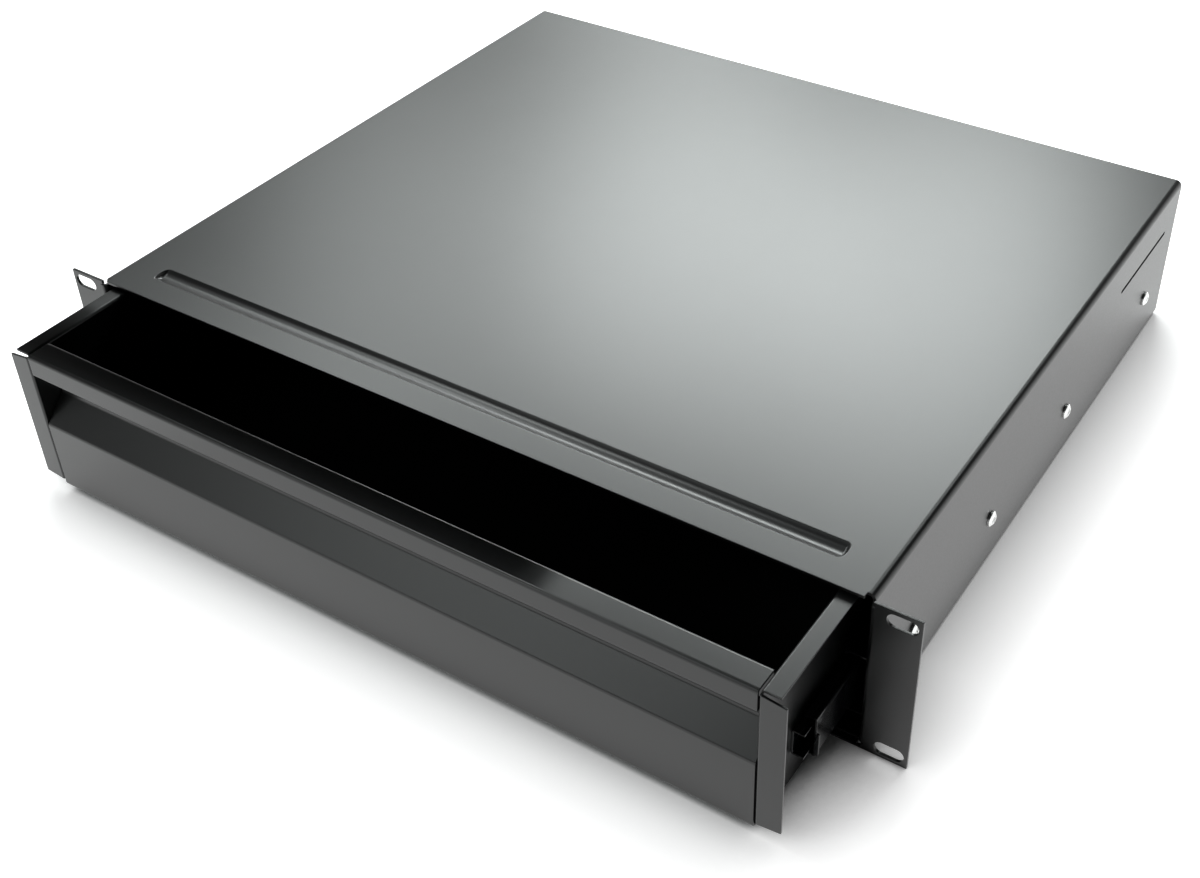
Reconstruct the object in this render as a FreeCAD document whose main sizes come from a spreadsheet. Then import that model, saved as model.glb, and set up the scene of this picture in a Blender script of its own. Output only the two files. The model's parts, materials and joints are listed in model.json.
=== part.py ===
import FreeCAD, Part
import math
import os
import re
import Sketcher
from FreeCAD import Placement, Rotation, Vector

# Sliding rack drawer, two units high, for 19-inch racks.
# X points right, Y to the rear, Z up. The origin is the middle of the rack ears' bolt
# pattern, on the back face of the ears, where they seat against the rack's rails.
# The drawer stands part open, as its slides hold it, and that is every joint's zero.

# ---------------------------------------------------------------- driving dimensions (mm)
SIZES = [
    ("rack_width", 482.6, "over the ears, EIA 19-inch"),
    ("slot_edge", 8.75, "slot centre from the ear's outer edge, for 465.1 centres"),
    ("slot_foot", 5.45, "slot centre from the ear's ends, for 76.2 centres"),
    ("slot_long", 14.0, "ear slot, end to end"),
    ("slot_high", 7.0, "ear slot, for M6 screws"),
    ("ear_reach", 22.0, "ear beyond the case's side"),
    ("ear_short", 1.4, "ear below the cover"),
    ("case_height", 88.5, "from the base plate to the cover"),
    ("case_depth", 382.0, "ear back face to rear edge"),
    ("case_sheet", 1.5, "case shell steel"),
    ("cover_bend", 3.5, "outside radius, cover to side"),
    ("foot_bend", 2.0, "outside radius, side to foot flange"),
    ("foot_flange", 14.0, "inward flange under each side"),
    ("ear_bend", 2.5, "outside radius, side to ear"),
    ("relief_gap", 0.4, "bend relief beyond the bends"),
    ("overcut", 1.0, "cutting outlines beyond the metal"),
    ("tab_play", 0.1, "base plate to the ear's tab"),
    ("base_sheet", 1.2, "base plate and rear panel steel"),
    ("rear_flange", 12.0, "depth of the rear panel's rim"),
    ("bead_inset", 21.8, "pressed groove's ends from the case's sides"),
    ("bead_wide", 10.4, "groove width at the cover"),
    ("bead_deep", 2.2, "groove depth"),
    ("bead_centre", 18.2, "groove middle behind the ear back"),
    ("bead_slope", 40.0, "groove's underside, degrees from upright"),
    ("bead_end", 2.0, "groove's ends, inside radius"),
    ("bead_rim", 0.8, "groove's rim, radius"),
    ("vent_long", 70.0, "slit in each side"),
    ("vent_high", 2.0, "slit width"),
    ("vent_to_rear", 17.6, "slit end to rear edge"),
    ("vent_drop", 24.1, "slit below the cover"),
    ("slide_level", 31.0, "slide centre over the base"),
    ("slide_room", 13.5, "drawer wall to case side"),
    ("slide_setback", 4.0, "slides start behind the ear back"),
    ("slide_behind", 28.0, "slides end before the case's rear edge"),
    ("slide_high", 35.0, "case member, outside"),
    ("slide_sheet", 1.0, "slide steel"),
    ("web_gap", 4.4, "case member's web to the middle member's, clears the screws"),
    ("slide_bend", 1.4, "outside bend radius of the members"),
    ("outer_ball", 4.8, "ball diameter, case to middle member"),
    ("inner_ball", 2.8, "ball diameter, middle to drawer member"),
    ("ball_play", 0.15, "ball to race"),
    ("race_reach", 11.4, "case member flange, from the web's back"),
    ("middle_reach", 6.0, "middle member flange, from the web's back"),
    ("lip_outer", 1.4, "case member lip"),
    ("lip_middle", 1.0, "middle member lip"),
    ("race_deep", 0.35, "ball groove in a flange"),
    ("cage_sheet", 0.4, "ball cage steel"),
    ("cage_play", 0.25, "cage web to its neighbours"),
    ("cage_slack", 2.75, "cage to the end of its run, drawer fully open"),
    ("window_play", 0.08, "ball to its window in the cage"),
    ("window_rim", 0.5, "window to the edge of the cage"),
    ("cage_end", 8.0, "end of cage to its first ball"),
    ("balls_per_row", 6, "balls in each row"),
    ("end_play", 6.0, "middle member's rear end before the case member's, drawer shut"),
    ("middle_lead", 3.5, "middle member's front before the case member's, drawer shut"),
    ("travel_short", 5.0, "drawer travel less than the case member"),
    ("drawer_member_lead", 26.5, "drawer member starts behind the drawer's face"),
    ("bumper_play", 2.0, "drawer member to the bumper, drawer shut"),
    ("stop_wide", 1.2, "stop tab at the middle member's front, beyond its web"),
    ("stop_high", 13.0, "stop tab height"),
    ("stop_foot", 1.0, "stop tab over the member's lower edge"),
    ("stop_round", 0.8, "stop tab corners"),
    ("bumper_long", 5.0, "rubber stop in the case member"),
    ("bumper_high", 16.0, "rubber stop height"),
    ("bumper_thick", 8.0, "rubber stop, web to face"),
    ("bumper_round", 1.5, "rubber stop, front corner"),
    ("screw_size", 4.0, "M4 pan-head screws"),
    ("head_size", 8.0, "pan head diameter"),
    ("head_high", 2.3, "pan head height"),
    ("head_rim", 1.15, "pan head, straight part"),
    ("crown_size", 4.5, "pan head, flat top"),
    ("cross_long", 3.4, "cross recess, end to end"),
    ("cross_wide", 0.8, "cross recess, width of an arm"),
    ("cross_floor", 1.0, "cross recess, floor over the seat"),
    ("hole_play", 0.05, "screw to hole, radial"),
    ("screw_a", 42.0, "screws along the case member, from its front end"),
    ("screw_b", 126.0, "second screw"),
    ("screw_c", 222.0, "third screw"),
    ("screw_d", 8.0, "last screw, from the case member's rear end"),
    ("drawer_screw_a", 18.0, "screws along the drawer member, from its front end"),
    ("drawer_screw_b", 94.0, "second screw"),
    ("drawer_screw_c", 190.0, "third screw"),
    ("drawer_screw_d", 16.0, "last screw, from the drawer member's rear end"),
    ("drawer_open", 62.5, "how far the drawer stands open at rest"),
    ("tray_sheet", 1.2, "tray, drawer back and front panel steel"),
    ("drawer_behind", 21.5, "shut drawer's back before the case's rear edge"),
    ("tray_under", 4.5, "underside of the tray over the base"),
    ("tray_headroom", 3.5, "rim of the tray below the case's top"),
    ("rim_relief", 0.4, "slit between the rim and the front flange"),
    ("rim_wide", 8.9, "outward rim of the walls"),
    ("tray_bend", 1.5, "outside bend radius of the tray"),
    ("strip_wide", 12.1, "front flange of each wall"),
    ("strip_under", 6.7, "front flange, lower end over the base"),
    ("strip_short", 1.7, "front flange, upper end below the rim"),
    ("strip_taper", 1.4, "front flange ends slope by"),
    ("strip_bend", 1.08, "outside bend radius, wall to front flange"),
    ("lip_side", 2.0, "upstand behind the front panel, to each wall"),
    ("ease_short", 0.1, "tray floor's front corner, chamfer less than the front panel's bend"),
    ("lip_under", 5.0, "upstand ends below the finger recess"),
    ("back_under", 5.0, "drawer back below the rim"),
    ("back_flange", 10.0, "drawer back, forward rim"),
    ("front_gap", 0.6, "front panel to each wall"),
    ("front_under", 3.2, "front panel, lowest face"),
    ("front_return", 14.0, "front panel, foot under the tray"),
    ("front_bend", 2.4, "front panel, outside bend radius"),
    ("recess_deep", 12.8, "finger recess"),
    ("recess_foot", 43.0, "finger recess, where its slope starts"),
    ("recess_slope", 45.0, "degrees"),
    ("pull_high", 12.0, "pull band"),
    ("pull_hem", 7.0, "pull band, folded hem"),
    ("pull_thick", 2.52, "pull band, both sheets of its hem"),
    ("pull_bend", 2.0, "pull band, outside radius at its top"),
    ("lever_front", 34.0, "release lever, pivot to its grip end"),
    ("lever_rear", 26.0, "release lever, pivot to its catch end"),
    ("lever_high", 5.0, "release lever, middle"),
    ("lever_grip_low", 1.0, "release lever, grip end below its axis"),
    ("lever_grip_high", 1.25, "release lever, grip end above its axis"),
    ("lever_catch_low", 0.75, "release lever, catch end below its axis"),
    ("lever_catch_high", 1.75, "release lever, catch end above its axis"),
    ("lever_thick", 2.6, "release lever"),
    ("lever_play", 0.5, "release lever to the slide's web"),
    ("lever_round", 0.8, "release lever, end corners"),
    ("lever_pivot", 210.0, "lever pivot behind the drawer's face"),
    ("pin_size", 2.4, "lever pivot pin"),
    ("pin_play", 0.15, "pin head to the lever"),
    ("pin_head", 0.8, "pin head height"),
]

doc = FreeCAD.newDocument("rack_drawer")
sheet = doc.addObject("Spreadsheet::Sheet", "Size")
for row, (alias, number, note) in enumerate(SIZES, start=1):
    sheet.set(f"A{row}", alias)
    sheet.set(f"B{row}", str(number))
    sheet.set(f"C{row}", note)
    sheet.setAlias(f"B{row}", alias)
doc.recompute()
ALIASES = {alias for alias, number, note in SIZES}

# ---------------------------------------------------------------- places shared by the pieces
EAR_HEIGHT = "(case_height - ear_short)"
FLOOR = f"(-{EAR_HEIGHT} / 2)"
CASE_TOP = f"({FLOOR} + case_height)"
CASE_OUT = "(rack_width / 2 - ear_reach)"
CASE_IN = f"({CASE_OUT} - case_sheet)"
EAR_FRONT = "(-case_sheet)"
BASE_REACH = f"({CASE_OUT} - foot_bend)"
BEAD_HALF = f"({CASE_OUT} - bead_inset)"
FACE = "(-case_sheet - drawer_open)"
TRAY_OUT = f"({CASE_IN} - slide_room)"
TRAY_IN = f"({TRAY_OUT} - tray_sheet)"
TRAY_FLOOR = f"({FLOOR} + tray_under)"
TRAY_TOP = f"({CASE_TOP} - tray_headroom)"
TRAY_DEPTH = "(case_depth + case_sheet - drawer_behind)"
AXIS = f"({FLOOR} + slide_level)"

# Half heights and web positions of the nested slide members, from the case inwards.
OUTER_HALF = "(slide_high / 2)"
MIDDLE_HALF = f"({OUTER_HALF} - slide_sheet - outer_ball - 2 * ball_play)"
DRAWER_HALF = f"({MIDDLE_HALF} - slide_sheet - inner_ball - 2 * ball_play)"
OUTER_ROW = f"({OUTER_HALF} - slide_sheet - ball_play - outer_ball / 2)"
INNER_ROW = f"({MIDDLE_HALF} - slide_sheet - ball_play - inner_ball / 2)"
MIDDLE_BACK = f"({CASE_IN} - slide_sheet - web_gap)"
OUTER_CAGE_BACK = f"({MIDDLE_BACK} + cage_play + cage_sheet)"
INNER_CAGE_BACK = f"({MIDDLE_BACK} - slide_sheet - cage_play)"
DRAWER_TIP = f"({INNER_CAGE_BACK} - cage_sheet - cage_play)"
OUTER_BALL_X = f"({CASE_IN} - race_reach + slide_sheet + ball_play + outer_ball / 2)"
INNER_BALL_X = f"({MIDDLE_BACK} - middle_reach + slide_sheet + ball_play + inner_ball / 2)"

# Lengths and places along the slides. The balls roll at half the speed of the members
# they run between, so the outer cage moves a quarter as far as the drawer, the inner one
# three quarters, and both end up over the stretch where their members still overlap.
SLIDE_LONG = "(case_depth - slide_setback - slide_behind)"
SLIDE_END = f"(slide_setback + {SLIDE_LONG})"
TRAVEL = f"({SLIDE_LONG} - travel_short)"
CAGE_START = f"(slide_setback + {TRAVEL} / 4 + cage_slack)"
CAGE_LONG = f"({SLIDE_LONG} - end_play - {TRAVEL} / 2 - 2 * cage_slack)"
DRAWER_FRONT = f"({FACE} + drawer_member_lead)"
DRAWER_REAR = f"({SLIDE_END} - bumper_long - bumper_play - drawer_open)"
CASE_SCREWS = ["(slide_setback + screw_a)", "(slide_setback + screw_b)", "(slide_setback + screw_c)",
               f"({SLIDE_END} - screw_d)"]
DRAWER_SCREWS = [f"({DRAWER_FRONT} + drawer_screw_a)", f"({DRAWER_FRONT} + drawer_screw_b)",
                 f"({DRAWER_FRONT} + drawer_screw_c)", f"({DRAWER_REAR} - drawer_screw_d)"]
HANDS = {"right": 1, "left": -1}


def full(expression):
    """Point each size's name in an expression at its cell in the sheet."""
    return re.sub(r"[a-z_]+", lambda m: f"Size.{m[0]}" if m[0] in ALIASES else m[0], str(expression))


def number(expression):
    return float(sheet.evalExpression(full(expression)))


def bind(thing, prop, expression):
    thing.setExpression(prop, full(expression))


# ---------------------------------------------------------------- sketches
def new_body(name):
    body = doc.addObject("PartDesign::Body", name)
    body.Label = name
    return body


def new_sketch(body, name, plane, offset="0"):
    """A sketch on one of the body's own planes, moved along that plane's normal."""
    sketch = body.newObject("Sketcher::SketchObject", name)
    origin_plane = [item for item in body.Origin.OriginFeatures if item.Role == plane][0]
    sketch.AttachmentSupport = [(origin_plane, "")]
    sketch.MapMode = "FlatFace"
    bind(sketch, "AttachmentOffset.Base.z", offset)
    return sketch


def pin_point(sketch, geometry, vertex, place):
    """Dimension a point of the sketch from its origin, both ways."""
    for kind, expression in zip(("DistanceX", "DistanceY"), place):
        index = sketch.addConstraint(
            Sketcher.Constraint(kind, -1, 1, geometry, vertex, number(expression)))
        bind(sketch, f"Constraints[{index}]", expression)


def polygon(sketch, points):
    """A closed outline of straight lines, each corner dimensioned from the origin."""
    corners = [Vector(number(across), number(along), 0) for across, along in points]
    first = sketch.GeometryCount
    for start, end in zip(corners, corners[1:] + corners[:1]):
        sketch.addGeometry(Part.LineSegment(start, end), False)
    count = len(points)
    for step in range(count):
        following = first + (step + 1) % count
        sketch.addConstraint(Sketcher.Constraint("Coincident", first + step, 2, following, 1))
        pin_point(sketch, first + step, 1, points[step])


def rectangle(sketch, left, right, low, high):
    polygon(sketch, [(left, low), (right, low), (right, high), (left, high)])


def circle(sketch, across, along, diameter):
    centre = Vector(number(across), number(along), 0)
    index = sketch.addGeometry(Part.Circle(centre, Vector(0, 0, 1), number(diameter) / 2), False)
    pin_point(sketch, index, 3, (across, along))
    size = sketch.addConstraint(Sketcher.Constraint("Diameter", index, number(diameter)))
    bind(sketch, f"Constraints[{size}]", diameter)


def slot(sketch, across, along, length, width):
    """A round-ended slot, long way along the sketch's first axis."""
    radius = f"({width}) / 2"
    reach = f"(({length}) - ({width})) / 2"
    ends = [(f"{across} - {reach}", along), (f"{across} + {reach}", along)]
    centres = [Vector(number(end[0]), number(end[1]), 0) for end in ends]
    up = Vector(0, number(radius), 0)
    axis = Vector(0, 0, 1)
    left_circle = Part.Circle(centres[0], axis, number(radius))
    right_circle = Part.Circle(centres[1], axis, number(radius))
    left = sketch.addGeometry(Part.ArcOfCircle(left_circle, math.pi / 2, 3 * math.pi / 2), False)
    right = sketch.addGeometry(Part.ArcOfCircle(right_circle, -math.pi / 2, math.pi / 2), False)
    low = sketch.addGeometry(Part.LineSegment(centres[0] - up, centres[1] - up), False)
    high = sketch.addGeometry(Part.LineSegment(centres[1] + up, centres[0] + up), False)
    for joint in ((left, 2, low, 1), (low, 2, right, 1), (right, 2, high, 1), (high, 2, left, 1)):
        sketch.addConstraint(Sketcher.Constraint("Tangent", *joint))
    pin_point(sketch, left, 3, ends[0])
    pin_point(sketch, right, 3, ends[1])
    size = sketch.addConstraint(Sketcher.Constraint("Radius", right, number(radius)))
    bind(sketch, f"Constraints[{size}]", radius)


# ---------------------------------------------------------------- features
def solid(body, kind, sketch, length, way=1, midplane=False, taper=None, through=False):
    """Grow or cut from a sketch: way is 1 along its plane's normal and -1 against it."""
    feature = body.newObject(f"PartDesign::{kind}", f"{sketch.Name}_{kind.lower()}")
    feature.Profile = sketch
    feature.Reversed = (way < 0) == (kind == "Pad")
    feature.Midplane = midplane
    if through:
        feature.Type = 1
    else:
        bind(feature, "Length", length)
    if taper:
        bind(feature, "TaperAngle", taper)
    body.Tip = feature
    return feature


def pad(body, sketch, length, **options):
    return solid(body, "Pad", sketch, length, **options)


def pocket(body, sketch, length, **options):
    """Cut, and make sure that something went."""
    doc.recompute()
    before = body.Shape.Volume
    feature = solid(body, "Pocket", sketch, length, **options)
    doc.recompute()
    if body.Shape.Volume > before - 0.01:
        raise RuntimeError(f"{feature.Name} cuts nothing")
    return feature


NEAR = 0.02


def near(values, wanted):
    return all(abs(value - target) < NEAR for value, target in zip(values, wanted))


def edges_along(shape, axis, places):
    """Names of the straight edges along an axis that stand at the given places across it."""
    wanted = [[number(expression) for expression in place] for place in places]
    found = []
    for index, edge in enumerate(shape.Edges, start=1):
        ends = [vertex.Point for vertex in edge.Vertexes]
        if len(ends) != 2 or edge.Curve.TypeId != "Part::GeomLine":
            continue
        across = [[end[way] for way in range(3) if way != axis] for end in ends]
        if any(near(across[0], place) and near(across[1], place) for place in wanted):
            found.append(f"Edge{index}")
    return found


def edges_inside(shape, low, high, kind=""):
    """Names of the edges, all or of one kind of curve, that lie wholly inside a box."""
    box = FreeCAD.BoundBox(*[number(value) for value in low], *[number(value) for value in high])
    names = []
    for index, edge in enumerate(shape.Edges, start=1):
        middle = edge.valueAt((edge.FirstParameter + edge.LastParameter) / 2)
        points = [middle] + [vertex.Point for vertex in edge.Vertexes]
        if kind in edge.Curve.TypeId and all(box.isInside(point) for point in points):
            names.append(f"Edge{index}")
    return names


def fillet(body, names, radius):
    """Round the named edges of the body's last feature."""
    if not names:
        raise RuntimeError(f"{body.Name} has no edge to round")
    base = body.Tip
    feature = body.newObject("PartDesign::Fillet", f"{body.Name}_bend")
    feature.Base = (base, names)
    bind(feature, "Radius", radius)
    body.Tip = feature
    doc.recompute()
    if "Invalid" in feature.State:
        raise RuntimeError(f"{feature.Name} failed: {names}, {radius}")
    return feature


def bend(body, axis, places, radius):
    doc.recompute()
    return fillet(body, edges_along(body.Shape, axis, places), radius)


X_AXIS, Y_AXIS, Z_AXIS = 0, 1, 2
# The XZ plane's normal points to the front, the XY plane's upwards.
REARWARD = -1
DOWN = -1


# ---------------------------------------------------------------- case
def case_shell():
    """Cover, sides and rack ears, folded from one blank."""
    body = new_body("case_shell")
    foot = f"({FLOOR} + base_sheet)"
    section = new_sketch(body, "shell_section", "XZ_Plane", f"-{EAR_FRONT}")
    outside = [(f"{CASE_OUT} - foot_flange", foot), (CASE_OUT, foot), (CASE_OUT, CASE_TOP)]
    inside = [(CASE_IN, f"{CASE_TOP} - case_sheet"), (CASE_IN, f"{foot} + case_sheet"),
              (f"{CASE_OUT} - foot_flange", f"{foot} + case_sheet")]
    left_outside = [(f"-({across})", along) for across, along in reversed(outside)]
    left_inside = [(f"-({across})", along) for across, along in reversed(inside)]
    polygon(section, outside + left_outside + left_inside + inside)
    pad(body, section, "case_depth + case_sheet", way=REARWARD)

    bend(body, Y_AXIS, [(f"{side} * {CASE_OUT}", CASE_TOP) for side in (1, -1)], "cover_bend")
    bend(body, Y_AXIS, [(f"{side} * {CASE_IN}", f"{CASE_TOP} - case_sheet") for side in (1, -1)],
         "cover_bend - case_sheet")
    bend(body, Y_AXIS, [(f"{side} * {CASE_OUT}", foot) for side in (1, -1)], "foot_bend")
    bend(body, Y_AXIS, [(f"{side} * {CASE_IN}", f"{foot} + case_sheet") for side in (1, -1)],
         "foot_bend - case_sheet")

    # Each ear joins its side along the flat of the wall, with relief notches above and below.
    wall_top = f"({CASE_TOP} - cover_bend - relief_gap)"
    wall_foot = f"({foot} + foot_bend + relief_gap)"
    ear_start = f"({CASE_OUT} + ear_bend - case_sheet + relief_gap)"
    relief = new_sketch(body, "bend_relief", "XZ_Plane", f"-{EAR_FRONT}")
    for side in (1, -1):
        rectangle(relief, f"{side} * ({CASE_OUT} - cover_bend - relief_gap)",
                  f"{side} * ({CASE_OUT} + overcut)", wall_top, f"{CASE_TOP} + overcut")
        rectangle(relief, f"{side} * ({CASE_OUT} - foot_flange - overcut)",
                  f"{side} * ({CASE_OUT} + overcut)", f"{foot} - overcut", wall_foot)
    pocket(body, relief, "ear_bend + relief_gap", way=REARWARD)
    for name, side in HANDS.items():
        ear = new_sketch(body, f"ear_{name}", "XZ_Plane", f"-{EAR_FRONT}")
        inner = f"{side} * {ear_start}"
        outer = f"{side} * rack_width / 2"
        wall = f"{side} * {CASE_IN}"
        ear_top = f"({FLOOR} + {EAR_HEIGHT})"
        foot_tab = f"{side} * ({BASE_REACH} + tab_play)"
        tab = f"{side} * ({CASE_OUT} + tab_play)"
        polygon(ear, [(foot_tab, FLOOR), (outer, FLOOR), (outer, ear_top), (tab, ear_top),
                      (tab, f"{wall_top} + relief_gap"), (inner, f"{wall_top} + relief_gap"),
                      (inner, wall_top), (wall, wall_top), (wall, wall_foot), (inner, wall_foot),
                      (inner, f"{wall_foot} - relief_gap"), (tab, f"{wall_foot} - relief_gap"),
                      (tab, foot), (foot_tab, foot)])
        pad(body, ear, "case_sheet", way=REARWARD)
    bend(body, Z_AXIS, [(f"{side} * {CASE_IN}", EAR_FRONT) for side in (1, -1)], "ear_bend")
    bend(body, Z_AXIS, [(f"{side} * {CASE_OUT}", "0") for side in (1, -1)], "ear_bend - case_sheet")

    slots = new_sketch(body, "rack_slots", "XZ_Plane", f"-{EAR_FRONT}")
    for side in (1, -1):
        for level in (1, -1):
            slot(slots, f"{side} * (rack_width / 2 - slot_edge)",
                 f"{level} * ({EAR_HEIGHT} / 2 - slot_foot)", "slot_long", "slot_high")
    pocket(body, slots, "case_sheet", way=REARWARD)

    walls = new_sketch(body, "side_openings", "YZ_Plane")
    slot(walls, "case_depth - vent_to_rear - vent_long / 2", f"{CASE_TOP} - vent_drop",
         "vent_long", "vent_high")
    for place in CASE_SCREWS:
        circle(walls, place, AXIS, "screw_size + 2 * hole_play")
    pocket(body, walls, "", midplane=True, through=True)
    return body


def cover_bead(body):
    """The round-bottomed groove pressed along the cover's front edge, which stiffens it."""
    under = new_sketch(body, "bead_under", "XY_Plane", f"{CASE_TOP} - case_sheet")
    half_long = f"({BEAD_HALF} + 2 * case_sheet)"
    rectangle(under, f"-{half_long}", half_long, "bead_centre - bead_wide / 2",
              "bead_centre + bead_wide / 2")
    pad(body, under, "bead_deep", way=DOWN, taper="-bead_slope")
    radius = "((bead_wide ^ 2 / 4 + bead_deep ^ 2) / (2 * bead_deep))"
    groove = new_sketch(body, "bead_groove", "YZ_Plane")
    circle(groove, "bead_centre", f"{CASE_TOP} - bead_deep + {radius}", f"2 * {radius}")
    pocket(body, groove, f"2 * {BEAD_HALF}", midplane=True)
    reach = (f"{BEAD_HALF} + overcut", "bead_wide / 2 + overcut")
    low = (f"-({reach[0]})", f"bead_centre - ({reach[1]})")
    high = (reach[0], f"bead_centre + {reach[1]}")
    ends = edges_inside(body.Shape, (*low, f"{CASE_TOP} - bead_deep - {NEAR}"),
                        (*high, f"{CASE_TOP} + {NEAR}"), "Circle")
    fillet(body, ends, "bead_end")
    rim = edges_inside(body.Shape, (*low, f"{CASE_TOP} - {NEAR}"), (*high, f"{CASE_TOP} + {NEAR}"))
    fillet(body, rim, "bead_rim")


def base_plate():
    """Flat sheet spot-welded under the shell's foot flanges, flush with the ears' front."""
    body = new_body("base_plate")
    outline = new_sketch(body, "base_outline", "XY_Plane", FLOOR)
    rectangle(outline, f"-{BASE_REACH}", BASE_REACH, EAR_FRONT, "case_depth")
    pad(body, outline, "base_sheet")
    return body


def rear_panel():
    """Shallow pan whose rim seats inside the shell's rear opening."""
    body = new_body("rear_panel")
    low = f"({FLOOR} + base_sheet + case_sheet)"
    high = f"({CASE_TOP} - case_sheet)"
    block = new_sketch(body, "rear_block", "XZ_Plane", "-(case_depth - rear_flange)")
    rectangle(block, f"-{CASE_IN}", CASE_IN, low, high)
    pad(body, block, "rear_flange", way=REARWARD)
    bend(body, Y_AXIS, [(f"{side} * {CASE_IN}", high) for side in (1, -1)], "cover_bend - case_sheet")
    bend(body, Y_AXIS, [(f"{side} * {CASE_IN}", low) for side in (1, -1)], "foot_bend - case_sheet")
    hollow = new_sketch(body, "rear_hollow", "XZ_Plane", "-(case_depth - rear_flange)")
    rectangle(hollow, f"-({CASE_IN} - base_sheet)", f"{CASE_IN} - base_sheet",
              f"{low} + base_sheet", f"{high} - base_sheet")
    pocket(body, hollow, "rear_flange - base_sheet", way=REARWARD)
    return body


# ---------------------------------------------------------------- slides
def channel(body, side, front, length, back, opening, half, reach, lip="0"):
    """A slide member: a web with two flanges, from one long strip.

    back is the web's outer face, and opening is the way its flanges point: -1 to the
    drawer, 1 to the case. A lip turns from each flange to the slide's middle.
    """
    def at(depth, height):
        return (f"{side} * ({back} + {opening} * ({depth}))", f"{AXIS} + ({height})")

    def mirrored(points):
        return [(across, along.replace(f"{AXIS} + (", f"{AXIS} - (")) for across, along in points]

    inner = f"({half} - slide_sheet)"
    upper = [at("0", half), at(reach, half)]
    if lip == "0":
        upper += [at(reach, inner)]
    else:
        upper += [at(reach, f"{inner} - {lip}"), at(f"{reach} - slide_sheet", f"{inner} - {lip}"),
                  at(f"{reach} - slide_sheet", inner)]
    upper += [at("slide_sheet", inner)]
    section = new_sketch(body, f"{body.Name}_section", "XZ_Plane", f"-({front})")
    polygon(section, upper + mirrored(reversed(upper)))
    pad(body, section, length, way=REARWARD)
    corners = upper[:1] if lip == "0" else upper[:2]
    bend(body, Y_AXIS, corners + mirrored(corners), "slide_bend")
    return body


def races(body, ball, ball_x, row, side):
    """Grooves rolled along a member's two flanges, in which the balls run."""
    groove = new_sketch(body, f"{body.Name}_races", "XZ_Plane")
    for level in (1, -1):
        circle(groove, f"{side} * {ball_x}", f"{AXIS} + {level} * {row}",
               f"{ball} + 2 * (ball_play + race_deep)")
    pocket(body, groove, "", midplane=True, through=True)


def web_holes(body, side, back, way, places, size):
    """Holes through a member's web, for screws or a pin."""
    holes = new_sketch(body, f"{body.Name}_{size}_holes", "YZ_Plane", f"{side} * ({back})")
    for place in places:
        circle(holes, place, AXIS, f"{size} + 2 * hole_play")
    pocket(body, holes, "slide_sheet", way=side * way)


def outer_slide(name, side):
    """The case member, screwed to the case's side."""
    body = new_body(f"outer_slide_{name}")
    channel(body, side, "slide_setback", SLIDE_LONG, CASE_IN, -1, OUTER_HALF, "race_reach",
            "lip_outer")
    web_holes(body, side, CASE_IN, -1, CASE_SCREWS, "screw_size")
    return body


def middle_slide(name, side):
    """The middle member: it moves half as far as the drawer, and a tab at its front stops it."""
    body = new_body(f"middle_slide_{name}")
    front = "(slide_setback - middle_lead - drawer_open / 2)"
    stop = new_sketch(body, f"slide_stop_{name}", "XZ_Plane", f"-{front}")
    low = f"({AXIS} - {MIDDLE_HALF} + stop_foot)"
    outer = f"{side} * ({MIDDLE_BACK} + stop_wide)"
    channel(body, side, front, f"{SLIDE_LONG} + middle_lead - end_play", MIDDLE_BACK, -1, MIDDLE_HALF,
            "middle_reach", "lip_middle")
    races(body, "outer_ball", OUTER_BALL_X, OUTER_ROW, side)
    rectangle(stop, f"{side} * ({MIDDLE_BACK} - slide_sheet)", outer, low, f"{low} + stop_high")
    pad(body, stop, "slide_sheet", way=REARWARD)
    bend(body, Y_AXIS, [(outer, low), (outer, f"{low} + stop_high")], "stop_round")
    return body


def drawer_slide(name, side):
    """The drawer member, screwed to the drawer's wall."""
    body = new_body(f"drawer_slide_{name}")
    channel(body, side, DRAWER_FRONT, f"{DRAWER_REAR} - {DRAWER_FRONT}", TRAY_OUT, 1, DRAWER_HALF,
            f"({DRAWER_TIP} - {TRAY_OUT})")
    races(body, "inner_ball", INNER_BALL_X, INNER_ROW, side)
    web_holes(body, side, TRAY_OUT, 1, DRAWER_SCREWS, "screw_size")
    web_holes(body, side, TRAY_OUT, 1, [f"{FACE} + lever_pivot"], "pin_size")
    return body


def ball_cage(name, side, race, back, row, ball, ball_x, shift):
    """Thin channel with a row of round windows in each flange, one per ball."""
    body = new_body(f"ball_cage_{race}_{name}")
    front = f"({CAGE_START} - {shift})"
    high = f"({row} + cage_sheet / 2)"
    low = f"({row} - cage_sheet / 2)"
    reach = f"({back} - ({ball_x} - {ball} / 2 - window_play - window_rim))"

    def at(depth, height):
        return (f"{side} * ({back} - ({depth}))", f"{AXIS} + ({height})")

    section = new_sketch(body, f"{body.Name}_section", "XZ_Plane", f"-{front}")
    polygon(section, [at("0", high), at(reach, high), at(reach, low), at("cage_sheet", low),
                      at("cage_sheet", f"-{low}"), at(reach, f"-{low}"), at(reach, f"-{high}"),
                      at("0", f"-{high}")])
    pad(body, section, CAGE_LONG, way=REARWARD)
    window = new_sketch(body, f"{body.Name}_window", "XY_Plane", AXIS)
    circle(window, f"{side} * {ball_x}", f"{front} + cage_end", f"{ball} + 2 * window_play")
    cut = pocket(body, window, "", midplane=True, through=True)
    row_of = body.newObject("PartDesign::LinearPattern", f"{body.Name}_row")
    row_of.Originals = [cut]
    y_axis = [item for item in body.Origin.OriginFeatures if item.Role == "Y_Axis"][0]
    row_of.Direction = (y_axis, [""])
    bind(row_of, "Length", f"{CAGE_LONG} - 2 * cage_end")
    bind(row_of, "Occurrences", "balls_per_row")
    body.Tip = row_of
    return body


def group(name, members):
    """Identical loose pieces kept as separate solids under one name."""
    node = doc.addObject("Part::Compound", name)
    node.Label = name
    node.Links = members
    return node


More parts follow.
